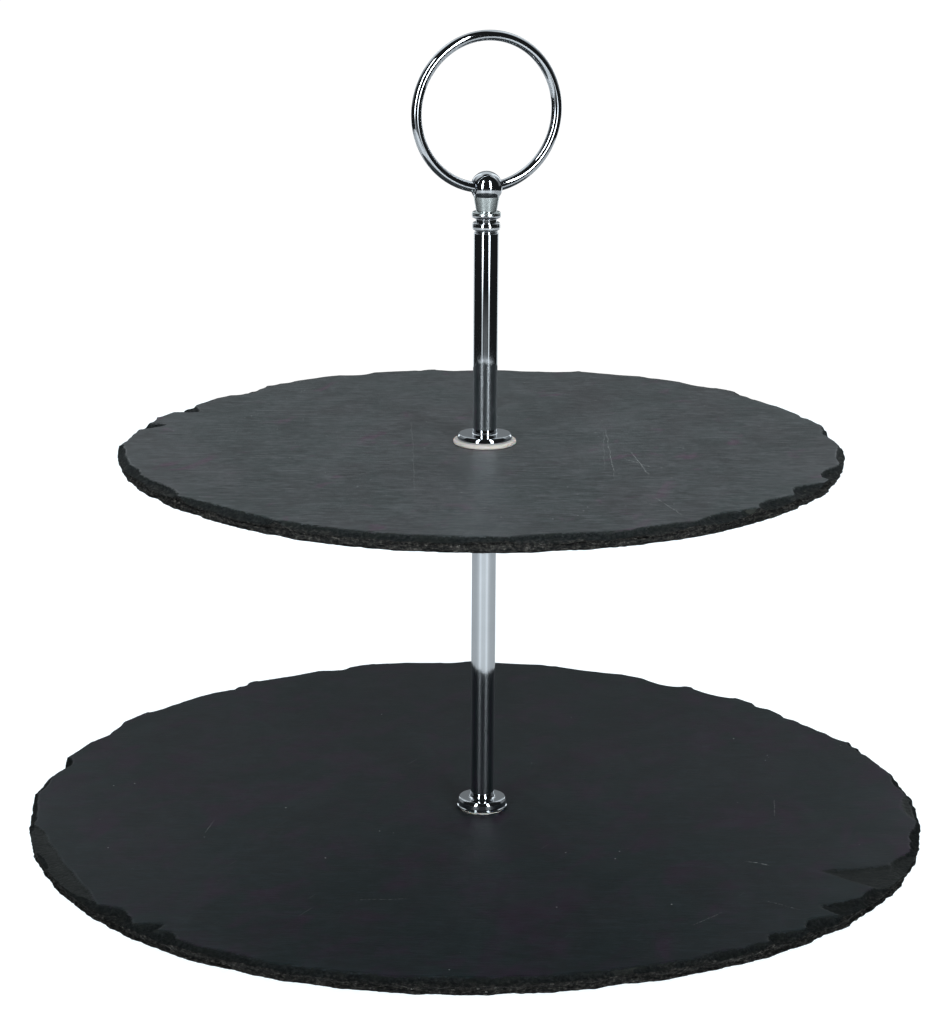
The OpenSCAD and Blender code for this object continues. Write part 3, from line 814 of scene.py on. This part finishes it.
LOWER_SCARS = [
    (178.5, 40, 6.0, 1.5, 2.2, 0), (197.5, 10, 5.0, 2.2, 1.6, 0.5), (202.5, 4, 7.5, 1.6, 1.2, -0.4),
    (206, 7, 4.0, 2.2, 1.6, 0), (216, 14, 2.6, 1.6, 2, 0), (229, 14, 2.2, 1.4, 2, 0),
    (243, 18, 2.6, 1.8, 2, 0), (257, 14, 2.2, 1.5, 2, 0), (268, 9, 2.0, 1.4, 2, 0),
    (278, 9, 3.0, 1.8, 1.6, 0.5), (288, 7, 5.0, 2.4, 1.3, 0.8), (294.5, 8, 4.5, 2.6, 1.4, 0.6),
    (302, 11, 9.0, 1.0, 1.2, 1.0), (306, 9, 3.5, 2.4, 1.5, 0), (312.5, 12, 22.0, 1.3, 1.1, 0.25),
    (317, 12, 5.0, 2.4, 1.6, 0), (328, 9, 3.5, 2.2, 1.5, 0.5), (338, 14, 5.0, 0.7, 1.6, 0),
    (347, 9, 3.0, 1.8, 1.6, 0), (142, 6, 3.0, 1.8, 2, 0), (129, 7, 2.5, 1.4, 2, 0),
    (114, 6, 2.0, 1.2, 2, 0), (97, 8, 2.0, 1.4, 2, 0),
]

slate_plate("upper_plate", "upper_tier", "slate", seed=11, scars=UPPER_SCARS, hole_mm=HOLE_R,
            grown_mm=0.7)
slate_plate("lower_plate", "base", "dark_slate", seed=23, scars=LOWER_SCARS, hole_mm=HOLE_R,
            grown_mm=1.35)


# ---------------------------------------------------------------- posts, flanges and washers

def tube(name, node, body):
    low, high, radius = size_mm(node)
    lathe(name, [(radius - 1, low, 0.1), (radius, low, 0.15), (radius, high, 0.3),
                 (radius - 1, high, 0.15)], body, "polished_chrome", [node])


tube("post_lower", "lower_post_tube", "lower_post")
tube("post_upper", "upper_post_tube", "upper_post")

low, high, radius = size_mm("upper_flange")
bore = 4.03
lathe("flange_upper",
      [(bore, low, 0.05), (radius - 0.08, low, 0.08), (radius, low + 0.5, 0.4),
       (radius - 0.12, low + 1.35, 0.8), (radius - 0.5, low + 1.95, 0.25), (radius - 1.2, low + 2.05, 0.5),
       (4.3, low + 2.07, 0.1), (4.06, low + 2.25, 0.1), (4.05, high, 0.03), (bore, high, 0.02)],
      "upper_post", "polished_chrome", ["upper_flange"], 200)

low, high, radius = size_mm("lower_flange")  # the same bore as the upper one
lathe("flange_lower",
      [(bore, low, 0.05), (radius - 0.06, low, 0.06), (radius, low + 0.3, 0.15),
       (radius - 0.35, low + 0.6, 0.1), (radius - 0.22, low + 0.9, 0.3), (radius - 0.3, low + 2.2, 0.9),
       (radius - 0.75, low + 3.05, 0.3), (radius - 1.3, low + 3.2, 0.4), (4.9, low + 3.22, 0.3),
       (4.3, low + 3.45, 0.2), (4.08, high, 0.04), (bore, high, 0.02)],
      "lower_post", "polished_chrome", ["lower_flange"], 200)

low, high, radius = size_mm("upper_soft_washer")
washer_rng = np.random.default_rng(4)
verts, faces = turned([(r * MM, z * MM) for r, z in rounded(
    [(2.8, low, 0.1), (radius - 0.1, low, 0.25), (radius, low + 0.6, 0.3),
     (radius - 0.15, high, 0.3), (2.8, high, 0.1)])], 200)
verts = np.array(verts)
ring_angle = np.arctan2(verts[:, 1], verts[:, 0])
outer = np.hypot(verts[:, 0], verts[:, 1]) > (radius - 1.5) * MM
ragged = facet_noise(washer_rng, ring_angle % TAU, 1.6, radius, 0.16, False)
verts[outer, :2] *= (1 - ragged[outer] / radius)[:, None]
make_piece("washer_cream", verts, faces, "clamp_washer", "cream_plastic", ["upper_soft_washer"])


# ---------------------------------------------------------------- ferrule, finial and ring

low, high, radius = size_mm("post_ferrule")
cone_z = high - 3.5
lathe("ferrule",
      [(2.05, low, 0.1), (2.95, low, 0.1), (2.95, cone_z, 0.02), (3.85, cone_z, 0.1),
       (3.62, cone_z + 0.55, 0.15), (3.75, cone_z + 0.85, 0.2), (radius - 0.12, cone_z + 1.05, 0.75),
       (radius + 0.06, cone_z + 2.1, 0.8), (radius - 0.12, high - 0.15, 0.75), (3.7, high, 0.15),
       (2.05, high, 0.1)],
      "upper_post", "cast_chrome", ["post_ferrule"], 200)

low, high, radius = size_mm("finial")
ball_r = 5.15
ball_foot_r = 4.1
ball_steps = 32
ball_z = high - 5.0
bead_z = low + 1.3
ball = []
ball_start = -math.acos(ball_foot_r / ball_r)
for k in range(ball_steps + 1):
    a = ball_start + (math.pi / 2 - ball_start) * k / ball_steps
    ball.append((max(0.0, ball_r * math.cos(a)) if k < ball_steps else 0.0, ball_z + ball_r * math.sin(a)))
body_profile = rounded(
    [(2.05, low, 0.05), (3.45, low, 0.1), (3.4, bead_z - 0.05, 0.3), (4.5, bead_z + 0.05, 0.5),
     (4.76, bead_z + 1.05, 0.6), (4.5, bead_z + 2.05, 0.5), (3.36, bead_z + 2.12, 0.25),
     (4.32, bead_z + 7.9, 0.3), (4.15, bead_z + 8.15, 0.1)], False)
profile = [(r * MM, z * MM) for r, z in body_profile + ball]
verts, faces = turned([(0.0, (low + 7) * MM), (2.05 * MM, (low + 7) * MM)] + profile, 200, False)
finial = make_piece("finial_ball", verts, faces, "upper_post", "cast_chrome", ["finial"],
                    material=MATERIALS["cast_finial"])
bore_r = 2.02
flare = rounded([(0, -9, 0), (bore_r + 1.6, -9, 0), (bore_r + 1.4, -4.9, 0.3), (bore_r, -4.1, 0.6),
                 (bore_r, 4.1, 0.6), (bore_r + 1.4, 4.9, 0.3), (bore_r + 1.6, 9, 0), (0, 9, 0)], False)
verts, faces = turned([(r * MM, z * MM) for r, z in flare], 96, False)
cut(finial, tool_object(verts, faces, Matrix.Translation((0, 0, ball_z * MM))
                        @ Matrix.Rotation(math.pi / 2, 4, "Y")))

low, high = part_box("ring_handle")
wire_r = (high.y - low.y) / 2
loop_r = (high.x - low.x) / 2 - wire_r
centre = (low + high) / 2
verts, faces = [], []
loop_steps, wire_steps = 720, 96
for i in range(loop_steps):
    a = TAU * i / loop_steps
    for k in range(wire_steps):
        b = TAU * k / wire_steps
        reach = loop_r + wire_r * math.cos(b)
        verts.append((reach * math.sin(a), wire_r * math.sin(b), centre.z - reach * math.cos(a)))
        i2, k2 = (i + 1) % loop_steps, (k + 1) % wire_steps
        faces.append((i * wire_steps + k, i2 * wire_steps + k, i2 * wire_steps + k2,
                      i * wire_steps + k2))
make_piece("ring_wire", verts, faces, "ring", "polished_chrome", ["ring_handle"])


# ---------------------------------------------------------------- feet

for index in range(4):
    node = f"foot_{index + 1}"
    low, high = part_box(node)
    centre = (low + high) / 2
    r = (high.x - low.x) / 2 / MM
    tall = high.z / MM
    points = [(0, 0.35, 0), (r - 3.2, 0.35, 0.3), (r - 2.8, 0, 0.2), (r - 1.2, 0, 0.4),
              (r - 0.15, 1.4, 0.8), (r, tall, 0.15), (0, tall, 0)]
    profile = [(a * MM, b * MM) for a, b in rounded(points, False)]
    verts, faces = turned(profile, 96, False)
    verts = [(x + centre.x, y + centre.y, z) for x, y, z in verts]
    make_piece(f"rubber_foot_{index + 1}", verts, faces, "base", "black_rubber", [node])


# ---------------------------------------------------------------- carried-over CAD nodes

CARRIED = {
    "handle_stud": "zinc_steel", "joining_stud": "zinc_steel", "base_screw": "zinc_steel",
    "under_metal_washer": "zinc_steel", "base_metal_washer": "zinc_steel",
    "upper_post_insert": "brass", "lower_top_insert": "brass", "lower_bottom_insert": "brass",
    "under_soft_washer": "cream_plastic", "lower_soft_washer": "cream_plastic",
    "base_soft_washer": "cream_plastic",
}
for node, slot in CARRIED.items():
    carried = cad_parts[node]
    carried.data.materials.clear()
    carried.data.materials.append(MATERIALS[slot])


# ---------------------------------------------------------------- stage and light

AIR_TINT = (0.91, 0.985, 1.03, 1)


def glow(name, *stops):
    """Light whose strength changes with height. Each stop is (height, strength)."""
    material, n = new_material(name)
    lamp = n.add("Emission")
    lamp.inputs["Color"].default_value = AIR_TINT
    level = n.add("SeparateXYZ")
    n.put(level.inputs[0], n.coords())
    strength = stops[0][1]
    for (z, s), (next_z, next_s) in zip(stops, stops[1:]):
        strength = n.math("ADD", n.span(level.outputs[2], z, next_z, 0, next_s - s), strength)
    n.put(lamp.inputs["Strength"], strength)
    out = n.add("OutputMaterial")
    n.tree.links.new(lamp.outputs[0], out.inputs[0])
    return material


def panel(name, corners, material):
    mesh = bpy.data.meshes.new(name)
    mesh.from_pydata(corners, [], [tuple(range(len(corners)))])
    mesh.materials.append(material)
    item = bpy.data.objects.new(name, mesh)
    bpy.context.scene.collection.objects.link(item)
    return item


def softbox(name, azimuth, distance, width, low, high, *stops):
    """A tall strip light that faces the post, at an azimuth in degrees counted as VIEW_FROM is."""
    a = math.radians(azimuth)
    out = Vector((math.sin(a), -math.cos(a), 0)) * distance
    side = Vector((math.cos(a), math.sin(a), 0)) * width / 2
    corners = [out - side + Vector((0, 0, low)), out + side + Vector((0, 0, low)),
               out + side + Vector((0, 0, high)), out - side + Vector((0, 0, high))]
    item = panel(name, corners, glow(name, *stops))
    item.visible_camera = False
    item.visible_shadow = False
    return item


STRIP_SPREAD = 31  # degrees to each side of the camera
STRIP_AWAY, STRIP_LOW, STRIP_HIGH = 1.1, -0.5, 1.5
FRONT_WIDTH, BACK_WIDTH = 0.19, 0.28
softbox("strip_left", VIEW_FROM - STRIP_SPREAD, STRIP_AWAY, FRONT_WIDTH, STRIP_LOW, STRIP_HIGH,
        (-0.005, 0.9), (0.05, 1.5), (0.35, 13.0))
softbox("strip_right", VIEW_FROM + STRIP_SPREAD, STRIP_AWAY, FRONT_WIDTH, STRIP_LOW, STRIP_HIGH,
        (-0.005, 1.1), (0.05, 1.6), (0.35, 16.0))
for side_name, azimuth in (("left", 126), ("right", 188)):
    softbox("strip_back_" + side_name, azimuth, STRIP_AWAY, BACK_WIDTH, STRIP_LOW, STRIP_HIGH,
            (0, 1.6), (1, 1.6))
softbox("card_front", VIEW_FROM, 1.2, 0.9, STRIP_LOW, 0.06, (-0.07, 0.15), (0.05, 0.02))

TABLE_R = 0.68
TABLE_SIDES = 96
table_material, n = new_material("table")
card = n.add("BsdfDiffuse")
n.put(card.inputs["Color"], n.mix(n.noise(n.coords(), 40, 3), (0.32, 0.32, 0.32, 1), (0.3, 0.3, 0.3, 1)))
spot = n.add("SeparateXYZ")
n.put(spot.inputs[0], n.coords(turn=(0, 0, -CAM_AZIMUTH)))
side = n.math("ABSOLUTE", n.math("ARCTAN2", spot.outputs[0], n.math("MULTIPLY", spot.outputs[1], -1)))
# painted light: the table's glow for reflected and bounced rays is raised in pools beside the two front
# strips and in a sector towards the camera, painted pools of the strips' light on the table; the even 0.36
# beneath them is the plain glow of the floor
beside = n.math("ABSOLUTE", n.math("SUBTRACT", side, math.radians(STRIP_SPREAD)))
painted_strip_pools = n.span(beside, 0, math.radians(17), 0.30, 0)
front = n.span(side, math.radians(32), math.radians(70), 0.24, 0)
glow_with_painted_pools = n.math("ADD", n.math("ADD", painted_strip_pools, front), 0.36)
lamp = n.add("Emission")
lamp.inputs["Color"].default_value = AIR_TINT
seen_directly = n.add("LightPath").outputs["Is Camera Ray"]
n.put(lamp.inputs["Strength"], n.math("MAXIMUM", glow_with_painted_pools, n.math("MULTIPLY", seen_directly, 1.05)))
both = n.add("AddShader")
n.put(both.inputs[0], card.outputs[0])
n.put(both.inputs[1], lamp.outputs[0])
clear = n.add("BsdfTransparent")
one_sided = n.add("MixShader")
n.put(one_sided.inputs[0], n.add("NewGeometry").outputs["Backfacing"])
n.put(one_sided.inputs[1], both.outputs[0])
n.put(one_sided.inputs[2], clear.outputs[0])
n.put(n.add("OutputMaterial").inputs[0], one_sided.outputs[0])
panel("table", [(TABLE_R * math.cos(TAU * k / TABLE_SIDES), TABLE_R * math.sin(TAU * k / TABLE_SIDES), 0)
                for k in range(TABLE_SIDES)], table_material)

world = bpy.data.worlds.new("studio")
bpy.context.scene.world = world
world.use_nodes = True
n = Nodes(world.node_tree)
toward = n.add("SeparateXYZ")
n.put(toward.inputs[0], n.add("TexCoord").outputs["Generated"])
x, y, z = toward.outputs
back = Vector((-math.sin(CAM_AZIMUTH), math.cos(CAM_AZIMUTH)))
level = n.math("SQRT", n.math("ADD", n.math("MULTIPLY", x, x), n.math("MULTIPLY", y, y)))
facing = n.math("DIVIDE", n.math("ADD", n.math("MULTIPLY", x, back.x), n.math("MULTIPLY", y, back.y)),
                n.math("MAXIMUM", level, 1e-4))
behind = n.span(facing, math.cos(math.radians(82)), math.cos(math.radians(72)))
raised = n.math("MULTIPLY", n.span(z, math.sin(math.radians(0)), math.sin(math.radians(3))),
                n.span(z, math.sin(math.radians(70)), math.sin(math.radians(62))))
sweep = n.math("MULTIPLY", n.span(facing, math.cos(math.radians(45)), math.cos(math.radians(35))),
               n.math("LESS_THAN", z, math.sin(math.radians(2))))
screen = n.math("MAXIMUM", n.math("MULTIPLY", behind, raised), sweep)
seen = n.add("Background")
seen.inputs["Color"].default_value = AIR_TINT
full = n.span(z, math.sin(math.radians(22)), math.sin(math.radians(42)), 0.24, 0.88)
n.put(seen.inputs["Strength"], n.span(screen, 0, 1, 0.016, full))
white = n.add("Background")
white.inputs["Color"].default_value = (1, 1, 1, 1)
white.inputs["Strength"].default_value = 1.05
choose = n.add("MixShader")
n.put(choose.inputs[0], n.add("LightPath").outputs["Is Camera Ray"])
n.put(choose.inputs[1], seen.outputs[0])
n.put(choose.inputs[2], white.outputs[0])
n.put(n.add("OutputWorld").inputs[0], choose.outputs[0])
